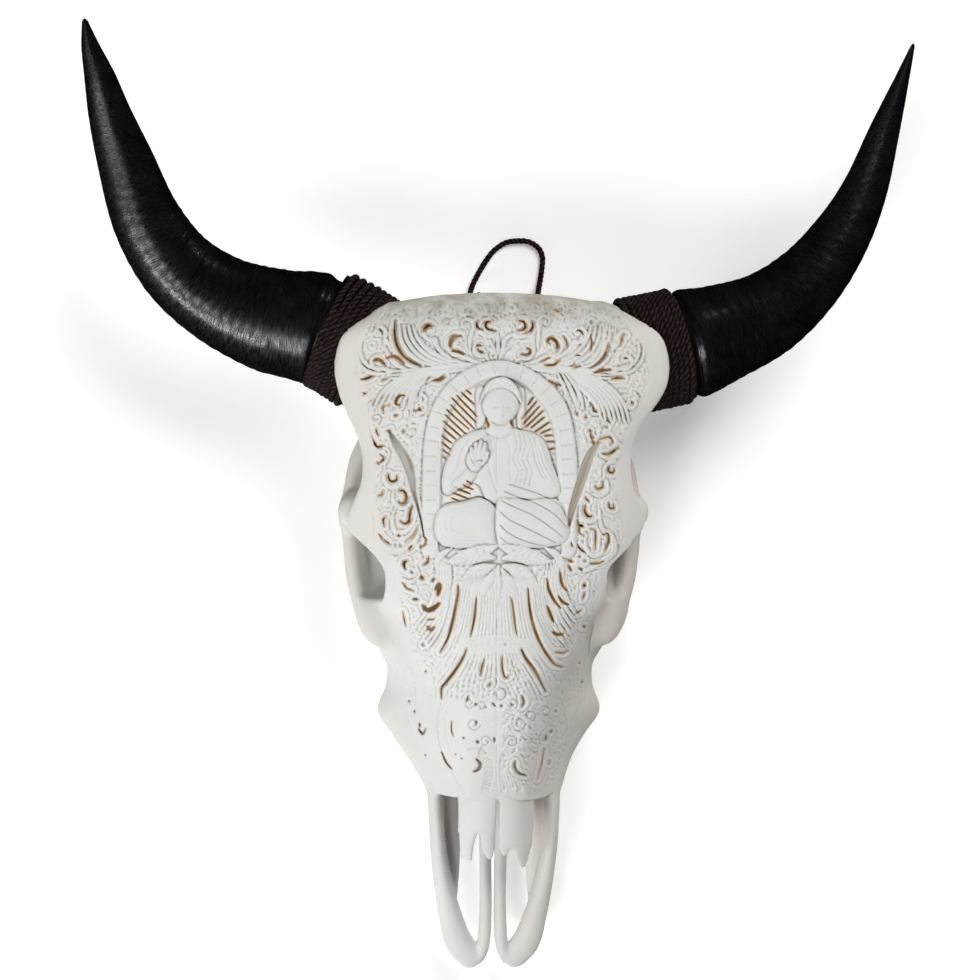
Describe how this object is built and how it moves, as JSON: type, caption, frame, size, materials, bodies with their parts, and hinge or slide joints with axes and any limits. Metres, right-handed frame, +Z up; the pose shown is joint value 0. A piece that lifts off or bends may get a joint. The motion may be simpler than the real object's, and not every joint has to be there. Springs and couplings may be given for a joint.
{
  "type": "carved buffalo skull",
  "caption": "Buffalo skull with upswept black horns, rope-bound horn bases and a hanging cord, its white face carved and pierced with scrolls, an arch and a praying figure.",
  "frame": {"origin": "on the resting surface, under the middle of the bounding box without the hanging cord", "axes": "+Y along the skull from nose to poll and on to the horn tips, +X to the right seen from above with the nose towards the viewer, +Z up out of the carved face"},
  "size_m": [0.6027, 0.7089, 0.1734],
  "materials": {
    "bone": "matt bleached bone",
    "horn": "varnished black horn",
    "cord": "twisted dark brown cord",
    "enamel": "semi-gloss tooth enamel"
  },
  "bodies": {
    "root": {"skull": "bone", "horn_left": "horn", "horn_right": "horn", "rope_wrap_left": "cord", "rope_wrap_right": "cord", "hanging_cord": "cord", "tooth_left_1": "enamel", "tooth_left_2": "enamel", "tooth_left_3": "enamel", "tooth_left_4": "enamel", "tooth_left_5": "enamel", "tooth_left_6": "enamel", "tooth_right_1": "enamel", "tooth_right_2": "enamel", "tooth_right_3": "enamel", "tooth_right_4": "enamel", "tooth_right_5": "enamel", "tooth_right_6": "enamel"}
  },
  "joints": []
}
